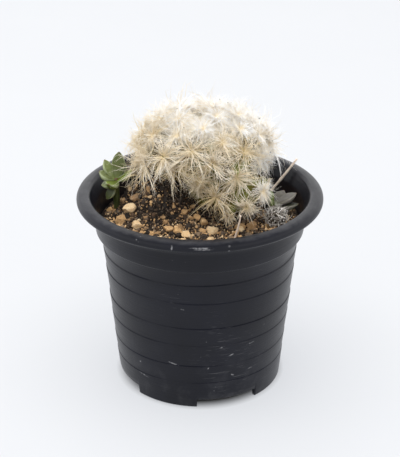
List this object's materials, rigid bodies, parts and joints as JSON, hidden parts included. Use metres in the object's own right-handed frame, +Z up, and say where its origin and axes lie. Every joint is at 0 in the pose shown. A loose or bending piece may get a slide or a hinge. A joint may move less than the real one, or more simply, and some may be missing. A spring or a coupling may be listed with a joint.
{
  "type": "potted round cactus",
  "caption": "Round clustered woolly cactus in a tapered black plastic grower's pot, with gritty soil, small succulents and dry stalks.",
  "frame": {"origin": "on the floor under the centre of the pot's foot", "axes": "+Z up along the pot's axis, -Y towards the front of the plant as pictured, +X to its right"},
  "size_m": [0.1, 0.1, 0.1192],
  "materials": {
    "pot_plastic": "satin black moulded polypropylene with faint scuffs",
    "gritty_soil": "dark granular compost with tan and brown grit and pebbles",
    "cactus_spines": "dense soft cream and straw spines over a green body",
    "pup_wool": "grey wool with white curled spines",
    "green_leaf": "waxy green succulent leaf",
    "grey_leaf": "dull grey-green succulent leaf",
    "dry_stalk": "pale dry flower stalk"
  },
  "bodies": {
    "root": {"pot": "pot_plastic", "soil": "gritty_soil", "cactus": "cactus_spines", "cactus_pup": "pup_wool", "green_succulent": "green_leaf", "grey_succulent": "grey_leaf", "stalk_front": "dry_stalk", "stalk_back": "dry_stalk"}
  },
  "joints": []
}
